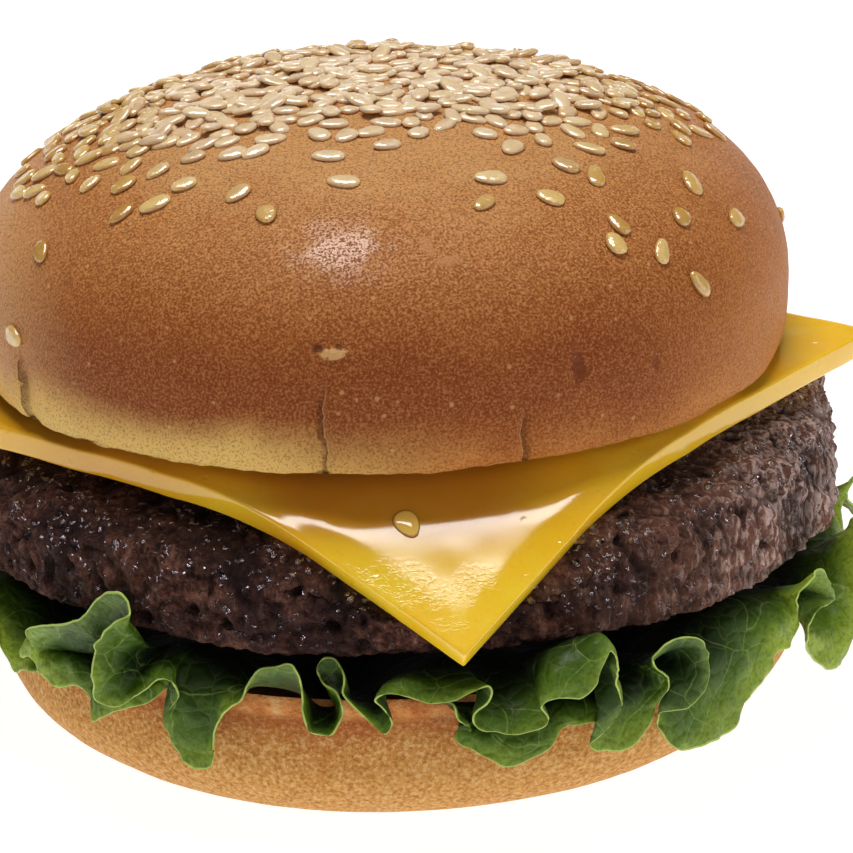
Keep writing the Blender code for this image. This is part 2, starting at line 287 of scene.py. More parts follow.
class Finish:
    """One Principled material while it is written."""

    def __init__(self, name, **constants):
        self.material = bpy.data.materials.new(name)
        self.material.use_nodes = True
        self.tree = self.material.node_tree
        self.shader = self.tree.nodes["Principled BSDF"]
        for socket, value in constants.items():
            self.shader.inputs[socket.replace("_", " ")].default_value = value
        self.place = self.node("ShaderNodeTexCoord", output="Object")

    def node(self, kind, settings=None, inputs=None, output=0):
        """Adds a node: its settings first, then the values or links of its sockets."""
        made = self.tree.nodes.new(kind)
        for key, value in (settings or {}).items():
            if key == "stops":
                self.fill_ramp(made.color_ramp, value)
            else:
                setattr(made, key, value)
        for key, value in (inputs or {}).items():
            if isinstance(value, Value):
                self.tree.links.new(value.socket, made.inputs[key])
            else:
                made.inputs[key].default_value = value
        return Value(self, made.outputs[output])

    def fill_ramp(self, ramp, stops):
        while len(ramp.elements) < len(stops):
            ramp.elements.new(0.5)
        for element, (position, colour) in zip(ramp.elements, stops):
            element.position = position
            element.color = colour

    def part(self, vector, index):
        """X, Y or Z of a vector."""
        return self.node("ShaderNodeSeparateXYZ", None, {0: vector}, index)

    def axes(self):
        """X, Y and Z of the surface, in metres."""
        return [self.part(self.place, index) for index in range(3)]

    def painted(self, name):
        """A number that the mesh carries at its points."""
        return self.node("ShaderNodeAttribute", {"attribute_name": name}, output="Fac")

    def stretched(self, x, y, z):
        """The place squeezed by these factors, so that a pattern on it is drawn out."""
        return self.node("ShaderNodeMapping", None, {"Vector": self.place, "Scale": (x, y, z)})

    def grain(self, size, detail=2.0, roughness=0.5, warp=0.0, place=None):
        """Noise of 0 to 1 with bumps of about that size."""
        inputs = {"Vector": place or self.place, "Scale": 1 / size, "Detail": detail,
                  "Roughness": roughness, "Distortion": warp}
        return self.node("ShaderNodeTexNoise", None, inputs)

    def cells(self, size, feature="F1", output="Distance", place=None):
        """Cell pattern: the distance to a cell's centre or edge, or a colour of its own for each cell."""
        inputs = {"Vector": place or self.place, "Scale": 1 / size}
        return self.node("ShaderNodeTexVoronoi", {"feature": feature}, inputs, output)

    def flecks(self, size, outline, share):
        """Spots in the middle of some cells: where a spot ends and is full, and which cells have one."""
        return self.cells(size).step(*outline) * self.cells(size, output="Color").step(*share)

    def warped(self, size, amount):
        """The place pushed about by noise."""
        push = self.node("ShaderNodeTexNoise", None, {"Vector": self.place, "Scale": 1 / size}, "Color")
        centred = self.vector_maths("SUBTRACT", {0: push, 1: (0.5, 0.5, 0.5)})
        scaled = self.vector_maths("SCALE", {0: centred, "Scale": amount})
        return self.vector_maths("ADD", {0: self.place, 1: scaled})

    def vector_maths(self, operation, terms, output=0):
        return self.node("ShaderNodeVectorMath", {"operation": operation}, terms, output)

    def ramp(self, value, stops):
        """A colour for each value, from stops of a value and a screen colour."""
        stops = [(position, shade(*colour)) for position, *colour in stops]
        return self.node("ShaderNodeValToRGB", {"stops": stops}, {0: value})

    def mix(self, share, first, second):
        return self.node("ShaderNodeMix", {"data_type": "RGBA"}, {0: share, 6: first, 7: second}, 2)

    def bump(self, height, depth, under=None):
        """Bump from a height of 0 to 1, this deep in metres."""
        inputs = {"Height": height, "Distance": depth, "Strength": 1.0}
        if under:
            inputs["Normal"] = under
        return self.node("ShaderNodeBump", None, inputs)

    def feed(self, **sockets):
        """Links values to the shader's sockets and gives the material."""
        for socket, value in sockets.items():
            self.tree.links.new(value.socket, self.shader.inputs[socket.replace("_", " ")])
        return self.material


# How far light spreads under a surface, in red, green and blue
BREAD_GLOW = (3.0 * MM, 1.5 * MM, 0.8 * MM)
CHEESE_GLOW = (4.0 * MM, 2.2 * MM, 0.5 * MM)
LEAF_GLOW = (1.0 * MM, 2.0 * MM, 0.5 * MM)
SEED_GLOW = (1.6 * MM, 1.1 * MM, 0.6 * MM)
# Where the top bun's crust is glossiest
GLOSSY_PLACE = (-5.8 * MM, -40.5 * MM, 73.4 * MM)
# Torn edges low in the crust: bearing, highest point above the cut, width, and the lower side, -1 or 1
CRUST_TEARS = [
    (-7.8, 13.5 * MM, 0.90 * MM, -1),
    (18.2, 8.0 * MM, 0.90 * MM, 1),
    (-58.5, 10.0 * MM, 1.20 * MM, 1),
    (96.0, 9.0 * MM, 0.90 * MM, -1),
    (151.0, 12.0 * MM, 0.90 * MM, 1),
    (-148.0, 8.0 * MM, 0.90 * MM, -1),
]
# Dents: bearing, height above the cut, half width, half height, depth and colour. A negative depth
# stands out, and a dent without a colour keeps the crust's.
# The dark colours of the sunken dents are painted shade
CROWN_DENTS = [
    (26.5, 10.6 * MM, 1.0 * MM, 2.0 * MM, 0.60 * MM, (112, 52, 24)),
    (-6.4, 15.0 * MM, 1.7 * MM, 0.7 * MM, -0.45 * MM, (222, 176, 116)),
    (-8.4, 15.5 * MM, 0.7 * MM, 0.4 * MM, 0.60 * MM, (86, 40, 18)),
    (-5.6, 15.7 * MM, 0.5 * MM, 0.3 * MM, 0.50 * MM, (96, 46, 20)),
    (10.8, 23.5 * MM, 1.8 * MM, 0.5 * MM, -0.22 * MM, (190, 130, 80)),
    (7.9, 24.9 * MM, 0.9 * MM, 0.8 * MM, -0.22 * MM, (190, 130, 80)),
    (38.5, 9.0 * MM, 0.5 * MM, 1.0 * MM, 0.30 * MM, (120, 58, 28)),
    (70.0, 9.0 * MM, 1.3 * MM, 0.8 * MM, 0.35 * MM, None),
    (130.0, 14.0 * MM, 1.2 * MM, 2.0 * MM, 0.45 * MM, None),
    (-125.0, 12.0 * MM, 2.0 * MM, 1.0 * MM, 0.35 * MM, None),
]


def crust_finish():
    """Baked crust: brown band low on the dome, tan on top, pale where the oven didn't brown it."""
    finish = Finish(
        "bun_crust", Subsurface_Weight=0.03, Subsurface_Radius=BREAD_GLOW, Specular_IOR_Level=0.12,
        Coat_Roughness=0.26,
    )
    x, y, z = finish.axes()
    above_cut = z + y * -CROWN_LEAN - CROWN_CUT_Z
    blotch = finish.grain(13 * MM, 3.0, 0.55)
    patches = finish.grain(4 * MM, 3.0, 0.6)
    grit = finish.grain(0.30 * MM, 2.0, 0.6)
    level = above_cut / (33 * MM) + (blotch - 0.5) * 0.34 + (patches - 0.5) * 0.10
    baked = finish.ramp(level, [
        (0.00, 182, 112, 50),
        (0.09, 158, 87, 34),
        (0.20, 140, 70, 25),
        (0.38, 138, 68, 23),
        (0.57, 154, 86, 36),
        (0.78, 178, 113, 58),
        (0.92, 200, 147, 91),
    ])
    low = above_cut + (blotch - 0.5) * (5 * MM)
    # Lighter low on the right: painted light from the right side
    right = x.step(26 * MM, 50 * MM) * above_cut.step(27 * MM, 8 * MM)
    baked = baked.tint(right * 0.6, 224, 144, 64)
    far_left = x.step(-36 * MM, -50 * MM)
    baked = baked.tint(far_left * 0.7, 226, 170, 110)
    left = x.step(14 * MM, -22 * MM)
    baked = baked.tint(low.step(7.5 * MM, 0.5 * MM) * left, 238, 198, 112)
    tan = above_cut.step(12 * MM, 28 * MM)
    baked = baked.tint(grit.step(0.46, 0.66) * (tan * 0.37 + 0.28), 222, 160, 98)
    baked = baked.tint(grit.step(0.52, 0.34) * (tan * 0.10 + 0.45), 100, 46, 14)
    dots = finish.flecks(2.3 * MM, (0.17, 0.09), (0.50, 0.60))
    baked = baked.tint(dots * 0.5, 224, 168, 108)
    baked, groove = crust_marks(finish, baked, above_cut, x, y)
    facing = finish.part(finish.node("ShaderNodeNewGeometry", output="Normal"), 2)
    cut = facing.step(-0.80, -0.95) * above_cut.step(1.0 * MM, 0.3 * MM)
    crumb = finish.ramp(finish.grain(2.2 * MM, 4.0, 0.65), [
        (0.3, 178, 128, 72), (0.7, 232, 206, 150),
    ])
    baked = finish.mix(cut, baked, crumb)
    normal = finish.bump(grit * 0.8 + dots * 0.6, 0.24 * MM)
    normal = finish.bump(1 - groove, 0.35 * MM, normal)
    from_shine = finish.vector_maths("DISTANCE", {0: finish.place, 1: GLOSSY_PLACE}, "Value")
    glossy = (from_shine + (patches - 0.5) * (14 * MM)).step(7.2 * MM, 2.2 * MM)
    shine = (glossy * 0.9 + 0.06) * grit.step(0.40, 0.56)
    return finish.feed(
        Base_Color=baked, Roughness=0.62 - patches * 0.16 + cut * 0.3, Coat_Weight=shine, Normal=normal,
    )


def crust_marks(finish, baked, above_cut, x, y):
    """Paints shade into the tears and the sunken dents, light along the tears' edges, and the raised dents'
    own colours. Gives the colour, and how deep each place lies, 0 to 1.
    """
    turn = x.maths("ARCTAN2", x - CROWN_CENTRE[0], CROWN_CENTRE[1] - y)
    wander = (finish.grain(3.4 * MM, 3.0, 0.6) - 0.5) * (2.6 * MM / CROWN_RADIUS)
    groove = 0.0
    edge = 0.0
    for bearing, high, width, side in CRUST_TEARS:
        beside = (turn + wander - math.radians(bearing)) * (CROWN_RADIUS * side)
        fade = above_cut.step(high, high * 0.55)
        groove = beside.step(-0.10 * MM, 0.06 * MM) * beside.step(width, 0.1 * MM) * fade + groove
        edge = beside.step(-0.42 * MM, -0.16 * MM) * beside.step(0.02 * MM, -0.10 * MM) * fade + edge
    # Painted shade in the tears
    baked = baked.tint(groove * 0.55, 74, 32, 10)
    # Painted light along the tears' lit edges
    baked = baked.tint(edge * 0.40, 214, 158, 100)
    torn = finish.grain(0.7 * MM, 3.0, 0.7)
    for bearing, height, half_width, half_height, _, colour in CROWN_DENTS:
        if colour:
            aside = (turn - math.radians(bearing)) * (CROWN_RADIUS / half_width)
            up = (above_cut - height) / half_height
            near = (aside * aside + up * up + (torn - 0.5) * 4.0).step(1.3, 0.5)
            # The dark colours of sunken dents are painted shade
            baked = baked.tint(near * 0.75, *colour)
    return baked, groove


def heel_finish():
    """Bottom bun: golden side, toasted cut face, browned flat base."""
    finish = Finish(
        "bun_base", Subsurface_Weight=0.04, Subsurface_Radius=BREAD_GLOW, Specular_IOR_Level=0.10,
    )
    z = finish.axes()[2]
    blotch = finish.grain(12 * MM, 3.0, 0.6)
    patches = finish.grain(2.5 * MM, 3.0, 0.65)
    grit = finish.grain(0.55 * MM, 2.0, 0.65)
    level = z / HEEL_TOP_Z + (blotch - 0.5) * 0.5 + (patches - 0.5) * 0.35
    side = finish.ramp(level, [
        (0.0, 214, 160, 92),
        (0.45, 216, 158, 86),
        (0.75, 208, 144, 74),
        (1.0, 196, 118, 58),
    ])
    side = side.tint(grit.step(0.50, 0.66) * 0.50, 246, 208, 148)
    side = side.tint(grit.step(0.50, 0.32) * 0.55, 146, 82, 32)
    dots = finish.flecks(1.3 * MM, (0.28, 0.12), (0.5, 0.6))
    side = side.tint(dots * 0.35, 244, 212, 160)
    red_edge = z.step(HEEL_TOP_Z - 3.2 * MM, HEEL_TOP_Z - 0.8 * MM) * (patches + 0.3)
    side = side.tint(red_edge * 0.6, 176, 92, 46)
    cut = z.step(HEEL_TOP_Z - 0.6 * MM, HEEL_TOP_Z + 0.6 * MM)
    toast = finish.ramp(finish.grain(1.8 * MM, 4.0, 0.65), [
        (0.3, 206, 116, 62), (0.55, 238, 160, 92), (0.75, 250, 204, 140),
    ])
    side = finish.mix(cut, side, toast)
    side = side.tint(z.step(1.2 * MM, 0.3 * MM) * 0.5, 168, 108, 58)
    normal = finish.bump(grit * 0.8 + patches * 0.8, 0.28 * MM)
    return finish.feed(Base_Color=side, Roughness=0.65 + patches * 0.2, Normal=normal)


def patty_finish():
    """Grilled minced beef: charred in patches, painted shade in its hollows, glinting beads of fat and
    paler fibres on the right.
    """
    finish = Finish("grilled_beef", Specular_IOR_Level=0.12)
    x, _, z = finish.axes()
    hollow = finish.painted("hollow")
    lumps = finish.grain(6 * MM, 4.0, 0.6)
    specks = finish.grain(0.7 * MM, 4.0, 0.75)
    meat = finish.ramp(lumps * 0.45 + specks * 0.55, [
        (0.36, 34, 14, 12),
        (0.46, 70, 38, 30),
        (0.57, 108, 68, 54),
        (0.68, 160, 116, 96),
    ])
    fibres = finish.grain(0.8 * MM, 3.0, 0.6, 0.6, place=finish.stretched(1.0, 1.0, 0.25))
    right = x.step(14 * MM, 44 * MM)
    meat = meat.tint(right * 0.50, 142, 98, 80)
    meat = meat.tint(fibres.step(0.48, 0.68) * (right * 0.7 + 0.15), 196, 156, 136)
    end = x.step(34 * MM, 50 * MM)
    meat = meat.tint(fibres.step(0.42, 0.60) * end * 0.8, 226, 196, 184)
    char = finish.grain(9 * MM, 3.0, 0.6).step(0.42, 0.58)
    meat = meat.tint(char * (1 - right * 0.7) * 0.70, 30, 15, 16)
    # Darker in the hollows: painted shade
    meat = meat.tint(hollow * 0.8, 14, 6, 6)
    greasy = finish.grain(5.5 * MM, 3.0, 0.65).step(0.41, 0.55) * (1 - hollow * 0.6)
    fold = finish.warped(1.7 * MM, 1.7 * MM)
    size = finish.cells(1.25 * MM, output="Color", place=fold) * 0.34 + 0.20
    apart = finish.cells(1.25 * MM, place=fold) / size
    beads = (1 - apart * apart).at_least(0.0).root()
    normal = finish.bump(finish.grain(0.9 * MM, 4.0, 0.75), 0.60 * MM)
    normal = finish.bump(beads, 0.50 * MM, normal)
    lower = (z + patty_drop(x)).step(PATTY_BOTTOM_Z + 2 * MM, PATTY_BOTTOM_Z + 7 * MM)
    upward = finish.part(normal, 2).step(0.25, 0.60)
    fat = (beads.step(0.02, 0.25) * greasy * upward * (lower * 0.6 + 0.4)).step(0.12, 0.40)
    meat = meat.tint(fat, 168, 156, 164)
    return finish.feed(Base_Color=meat, Metallic=fat, Roughness=0.62 - fat * 0.53, Normal=normal)


def patty_drop(x):
    """About how far the patty has sagged below its level, towards the right, as a value of its finish."""
    return x.step(PATTY_SAG_FROM, PATTY_RADIUS) * PATTY_SAG


def cheese_finish():
    """Processed cheese: glossy yellow, with painted shade under the bun's edge and on its left side, finely
    creased near its front corner.
    """
    finish = Finish(
        "cheese", Subsurface_Weight=0.10, Subsurface_Radius=CHEESE_GLOW, Specular_IOR_Level=0.85,
    )
    x, y = finish.axes()[:2]
    cloud = finish.grain(9 * MM, 2.0, 0.5)
    colour = finish.ramp(cloud, [(0.3, 255, 197, 30), (0.7, 255, 212, 50)])
    fleck = finish.grain(0.5 * MM, 2.0, 0.6)
    colour = colour.tint(fleck.step(0.55, 0.75) * 0.25, 226, 158, 16)
    # More orange on the left: painted shade on that side
    colour = colour.tint(x.step(-14 * MM, -40 * MM) * 0.45, 228, 146, 20)
    # Painted shade under the top bun's edge, deepest at the front
    bun_x = x - CROWN_CENTRE[0]
    bun_y = y - CROWN_CENTRE[1]
    from_bun = (bun_x * bun_x + bun_y * bun_y).root()
    ahead = (x * x).step((22 * MM) ** 2, (8 * MM) ** 2)
    shaded = from_bun.step(55.5 * MM, 50.5 * MM) * (ahead * 0.60 + 0.06)
    colour = colour.tint(shaded, 178, 86, 14)
    creases = finish.grain(0.40 * MM, 2.0, 0.5, 0.5, place=finish.stretched(0.6, 1.0, 1.0)).step(0.45, 0.65)
    tip = y.step(-53.5 * MM, -56 * MM) * y.step(-62.5 * MM, -60 * MM)
    tip = tip * finish.grain(5 * MM, 2.0).step(0.40, 0.56)
    normal = finish.bump(creases * tip, 0.022 * MM)
    pits = finish.flecks(3.4 * MM, (0.15, 0.05), (0.45, 0.55))
    normal = finish.bump(1 - pits * 0.6, 0.08 * MM, normal)
    rough = 0.09 + finish.grain(1.6 * MM, 3.0, 0.6) * 0.06 + tip * 0.06 + y.step(-56 * MM, -61 * MM) * 0.10
    return finish.feed(Base_Color=colour, Roughness=rough, Normal=normal)


def lettuce_finish(name, greens, vein, gloss):
    """One side of the leaf: painted shade towards its root, painted light towards its rim and on its far
    left and right, a net of veins, and a thin bright rim that is partly its own pale edge and partly
    painted light.

    The greens are the dull, the middle and the bright one. The leaf's map runs out to 1 at the rim.
    """
    finish = Finish(name, Subsurface_Weight=0.06, Subsurface_Radius=LEAF_GLOW, Specular_IOR_Level=gloss)
    out = finish.part(finish.node("ShaderNodeUVMap", {"uv_map": "leaf"}), 1)
    blotch = finish.grain(7 * MM, 3.0, 0.55)
    x = finish.axes()[0]
    # Painted light towards the rim and on the far left and right lobes, over random blotches
    outer = (x * x).step((36 * MM) ** 2, (50 * MM) ** 2)
    tone = blotch * 0.5 + out.step(0.55, 1.0) * 0.42 + outer * 0.30
    green = finish.ramp(tone, [(0.25, *greens[0]), (0.58, *greens[1]), (0.85, *greens[2])])
    net = finish.cells(7.0 * MM, "DISTANCE_TO_EDGE", place=finish.warped(6 * MM, 3 * MM))
    twigs = finish.cells(2.6 * MM, "DISTANCE_TO_EDGE", place=finish.warped(4 * MM, 2 * MM))
    green = green.tint(net.step(0.016, 0.004) * 0.40, *vein)
    green = green.tint(twigs.step(0.035, 0.01) * 0.12, *vein)
    speckle = finish.grain(0.5 * MM, 2.0, 0.6)
    green = green.tint(speckle.step(0.42, 0.70) * 0.38, *greens[0])
    # Painted shade towards the root, under the patty
    green = green.tint(out.step(0.60, 0.30), 12, 18, 8)
    # Thin bright rim: partly the leaf's own pale edge, partly painted light
    green = green.tint(out.step(0.990, 0.997) * 0.80, 190, 212, 108)
    blister = net.step(0.0, 0.35) * 0.6 + twigs.step(0.0, 0.3) * 0.4
    normal = finish.bump(blister + speckle * 0.12, 0.40 * MM)
    rough = 0.36 + blotch * 0.2 + out.step(0.65, 0.35) * 0.4
    return finish.feed(Base_Color=green, Roughness=rough, Normal=normal)


def leaf_upper_finish():
    return lettuce_finish("lettuce", [(28, 48, 12), (80, 110, 22), (152, 174, 50)], (150, 176, 84), 0.22)


def leaf_under_finish():
    greens = [(34, 52, 22), (62, 86, 36), (134, 160, 72)]
    return lettuce_finish("lettuce_underside", greens, (140, 166, 84), 0.15)


def seed_finish():
    """Hulled sesame: waxy, each seed with its own tone and a tan edge, with a painted sheen high on the
    dome.
    """
    finish = Finish(
        "sesame", Subsurface_Weight=0.25, Subsurface_Radius=SEED_GLOW, IOR=1.8, Specular_IOR_Level=0.8,
    )
    cream = finish.ramp(finish.painted("tone"), [
        (0.0, 196, 144, 62), (0.3, 216, 172, 88), (1.0, 234, 198, 124),
    ])
    cream = cream.tint(finish.painted("edge") * 0.65, 184, 126, 66)
    height = finish.axes()[2]
    # Paler high on the dome: a painted sheen
    cream = cream.tint(height.step(73.5 * MM, 78.5 * MM) * 0.60, 255, 232, 200)
    grain = finish.grain(0.9 * MM, 2.0, 0.5)
    normal = finish.bump(grain, 0.16 * MM)
    return finish.feed(Base_Color=cream, Roughness=0.10 + grain * 0.18, Normal=normal)


# ---- top bun

CROWN_SEGMENTS = 560
CREASE_DEPTH = 0.7 * MM
# How far from its middle a tear or a dent is still worked out, along the crust
MARK_REACH = 11 * MM


def aside_of(bearing, at):
    """How far along the crust a bearing lies beside another."""
    return math.radians((bearing - at + 180) % 360 - 180) * CROWN_RADIUS


def crown_relief(place):
    """How far the crust stands in or out at a point of the plain dome, in metres."""
    above = place.z - CROWN_CUT_Z
    bearing = bearing_of(place)
    relief = unevenness(place, (35, 0.6), (8, 0.14), (2.6, 0.05))
    for at, high, width, side in CRUST_TEARS:
        beside = aside_of(bearing, at) * side
        if abs(beside) < MARK_REACH:
            depth = CREASE_DEPTH * smooth(above, high, high * 0.5)
            relief -= depth * smooth(beside, -0.4 * MM, 0.1 * MM) * smooth(beside, 3 * width, 0.0)
            relief += 0.35 * depth * hump(beside + 1.6 * width, 1.4 * width)
    for at, height, half_width, half_height, depth, _ in CROWN_DENTS:
        aside = aside_of(bearing, at)
        if abs(aside) < MARK_REACH:
            relief -= depth * hump(aside, half_width) * hump(above - height, half_height)
    return relief


def crown_placed():
    """Moves the dome from its own axis to its place, leaning back a little."""
    pivot = Matrix.Translation((CROWN_CENTRE[0], CROWN_CENTRE[1], CROWN_WIDEST_Z))
    return pivot @ Matrix.Rotation(CROWN_LEAN, 4, "X") @ Matrix.Translation((0, 0, -CROWN_WIDEST_Z))


def make_top_bun():
    dome = superellipse(0.0, CROWN_RADIUS, CROWN_WIDEST_Z, CROWN_TOP_Z, CROWN_DOME_ROUNDNESS, 84)
    rim = superellipse(CROWN_CUT_RADIUS, CROWN_RADIUS, CROWN_WIDEST_Z, CROWN_CUT_Z, CROWN_RIM_ROUNDNESS, 18)
    profile = dome[::-1] + rim[1:] + across(rim[-1], (0.0, CROWN_CUT_Z), 16)
    mesh_edit = turned(profile, CROWN_SEGMENTS)
    for corner in mesh_edit.verts:
        place = corner.co.copy()
        above = place.z - CROWN_CUT_Z
        outward = Vector((place.x, place.y, above)).normalized()
        if above > 0.01 * MM:
            corner.co += outward * crown_relief(place)
            ragged = smooth(above, 1.6 * MM, 0.0)
            corner.co.z += ragged * unevenness(place, (7, 0.45), (1.6, 0.18))
        else:
            corner.co.z += unevenness(place, (3, 0.25), (1.2, 0.12))
            if place.xy.length > CROWN_CUT_RADIUS - 0.5 * MM:
                corner.co += outward * unevenness(place, (2.4, 0.3))
    bmesh.ops.transform(mesh_edit, matrix=crown_placed(), verts=mesh_edit.verts)
    return new_piece("top_bun_crust", mesh_edit, crust_finish(), "top_bun")


# ---- bottom bun

HEEL_SEGMENTS = 520
# How far the toasted face turns up at its edge in front
HEEL_LIP = 2.4 * MM


def make_bottom_bun():
    lower = superellipse(HEEL_FLAT_RADIUS, HEEL_RADIUS, HEEL_WIDEST_Z, 0.0, HEEL_ROUNDNESS, 26)
    upper = superellipse(HEEL_CUT_RADIUS, HEEL_RADIUS, HEEL_WIDEST_Z, HEEL_TOP_Z, 2.0, 12)
    profile = [(0.0, HEEL_TOP_Z)] + across((0.0, HEEL_TOP_Z), upper[-1], 14) + upper[-2::-1] + lower[1:]
    profile += across(lower[-1], (0.0, 0.0), 8)
    mesh_edit = turned(profile, HEEL_SEGMENTS)
    for corner in mesh_edit.verts:
        place = corner.co.copy()
        if 0.05 * MM < place.z < HEEL_TOP_Z - 0.01 * MM:
            outward = Vector((place.x, place.y, 0.0)).normalized()
            settle = smooth(place.z, 0.0, 2 * MM)
            corner.co += outward * unevenness(place, (30, 0.5), (6, 0.16), (1.8, 0.06)) * settle
        elif place.z > HEEL_MIDDLE.z:
            corner.co.z -= 0.2 * MM + abs(unevenness(place, (2.5, 0.25)))
        if place.z > HEEL_TOP_Z - 1.5 * MM:
            in_front = smooth(place.y, -30 * MM, -42 * MM)
            corner.co.z += HEEL_LIP * smooth(place.xy.length, 46 * MM, 50 * MM) * in_front
    return new_piece("bottom_bun_crust", mesh_edit, heel_finish(), "bottom_bun", 50)


# ---- cheese slice

def bend(distance, start, radius, most):
    """How far out a bent sheet reaches, how far it has dropped and its slope, at a distance along it."""
    beyond = max(distance - start, 0.0)
    slope = min(beyond / radius, most)
    straight = max(beyond - radius * most, 0.0)
    out = min(distance, start) + radius * math.sin(slope) + straight * math.cos(most)
    drop = radius * (1.0 - math.cos(slope)) + straight * math.sin(most)
    return out, drop, slope


def bend_below(out, start, radius, most):
    """How far a bent sheet has dropped, and its slope, below a point that is this far out."""
    beyond = max(out - start, 0.0)
    arc_end = radius * math.sin(most)
    if beyond < arc_end:
        slope = math.asin(beyond / radius)
        return radius * (1.0 - math.cos(slope)), slope
    return radius * (1.0 - math.cos(most)) + (beyond - arc_end) * math.tan(most), most


CHEESE_FRONT = Vector((math.sin(CHEESE_TURN), -math.cos(CHEESE_TURN), 0.0))
CHEESE_RIGHT = Vector((math.cos(CHEESE_TURN), math.sin(CHEESE_TURN), 0.0))


def cheese_plane(x, y):
    return CHEESE_TOP_Z + CHEESE_SLOPE[0] * x + CHEESE_SLOPE[1] * y


def bends_at(ahead, aside):
    """The slice's bends at a point: that of its front or back corner, and of its right or left one."""
    return CORNER_BENDS["front" if ahead > 0 else "back"], CORNER_BENDS["right" if aside > 0 else "left"]


def cheese_point(ahead, aside, below):
    """A point of the slice: ahead and aside of its centre on the sheet, and below its upper face."""
    lengthways, sideways = bends_at(ahead, aside)
    out, drop, slope = bend(abs(ahead), *lengthways)
    out_aside, drop_aside, slope_aside = bend(abs(aside), *sideways)
    out -= below * math.sin(slope)
    out_aside -= below * math.sin(slope_aside)
    sunk = drop + drop_aside + below * math.cos(slope) * math.cos(slope_aside)
    place = CHEESE_FRONT * math.copysign(out, ahead) + CHEESE_RIGHT * math.copysign(out_aside, aside)
    x = CHEESE_CENTRE[0] + place.x
    y = CHEESE_CENTRE[1] + place.y
    return Vector((x, y, cheese_plane(x, y) - sunk))


def under_cheese(x, y):
    """Height of the slice's lower face over a place, as if the slice had no edge."""
    place = Vector((x - CHEESE_CENTRE[0], y - CHEESE_CENTRE[1], 0.0))
    ahead = place.dot(CHEESE_FRONT)
    aside = place.dot(CHEESE_RIGHT)
    lengthways, sideways = bends_at(ahead, aside)
    drop, slope = bend_below(abs(ahead), *lengthways)
    drop_aside, slope_aside = bend_below(abs(aside), *sideways)
    return cheese_plane(x, y) - drop - drop_aside - CHEESE_THICK / math.cos(max(slope, slope_aside))


CHEESE_CELLS = 110
CHEESE_EDGE = 0.35 * MM


def make_cheese_slice():
    mesh_edit = bmesh.new()
    bmesh.ops.create_grid(
        mesh_edit, x_segments=CHEESE_CELLS, y_segments=CHEESE_CELLS, size=0.5 * CHEESE_SIDE,
        matrix=Matrix.Rotation(math.radians(45), 4, "Z"),
    )
    extruded = bmesh.ops.extrude_face_region(mesh_edit, geom=list(mesh_edit.faces))["geom"]
    lower = [item for item in extruded if isinstance(item, bmesh.types.BMVert)]
    bmesh.ops.translate(mesh_edit, vec=(0, 0, -CHEESE_THICK), verts=lower)
    bmesh.ops.recalc_face_normals(mesh_edit, faces=mesh_edit.faces)
    rims = [edge for edge in mesh_edit.edges if edge.calc_face_angle(0.0) > 1.0]
    bmesh.ops.bevel(
        mesh_edit, geom=rims, offset=CHEESE_EDGE, offset_type="OFFSET", affect="EDGES",
        segments=3, profile=0.5, material=-1, clamp_overlap=True,
    )
    for corner in mesh_edit.verts:
        ahead, aside, below = corner.co.x, corner.co.y, -corner.co.z
        inside = (CHEESE_SIDE * math.sqrt(0.5) - abs(ahead) - abs(aside)) * math.sqrt(0.5)
        sway = smooth(inside, 10 * MM, 0.0) * unevenness((ahead, aside, 0.0), (16, 0.6))
        sway *= 1.0 - 0.8 * smooth(ahead, 22 * MM, 38 * MM)
        droop = 0.5 * MM * smooth(inside, 3.6 * MM, 0.0) * smooth(ahead, 12 * MM, 36 * MM)
        ripple = unevenness((ahead, aside, 3.0), (5, 0.06))
        corner.co = cheese_point(ahead, aside, below) + Vector((0, 0, sway + ripple - droop))
    return new_piece("cheese_sheet", mesh_edit, cheese_finish(), "cheese_slice")


# ---- beef patty

def patty_sag(x):
    """How much lower the patty hangs towards its right side."""
    return PATTY_SAG * smooth(x, PATTY_SAG_FROM, PATTY_RADIUS)


def under_patty(x):
    return PATTY_BOTTOM_Z - patty_sag(x)


def mince(place, size, depth):
    """Rounded lumps with creases between them."""
    nearest = noise.voronoi(place / size)[0]
    return depth * (smooth(nearest[1] - nearest[0], 0.0, 0.45) - 0.7)


def patty_relief(place):
    bent = place + noise.noise_vector(place / (6 * MM)) * (2.4 * MM)
    relief = unevenness(place, (6.5, 0.8)) + mince(bent, 4.4 * MM, 0.62 * MM)
    relief += mince(bent + Vector((0.3, 0.1, 0.2)), 1.9 * MM, 0.42 * MM)
    relief += 0.32 * MM * noise.fractal(place / (1.3 * MM), 0.8, 2.1, 3)
    pit = noise.voronoi(bent / (5.5 * MM))[0][0]
    return relief - 1.1 * MM * smooth(pit, 0.26, 0.10)


PATTY_SEGMENTS = 760
PATTY_STEP = 0.46 * MM


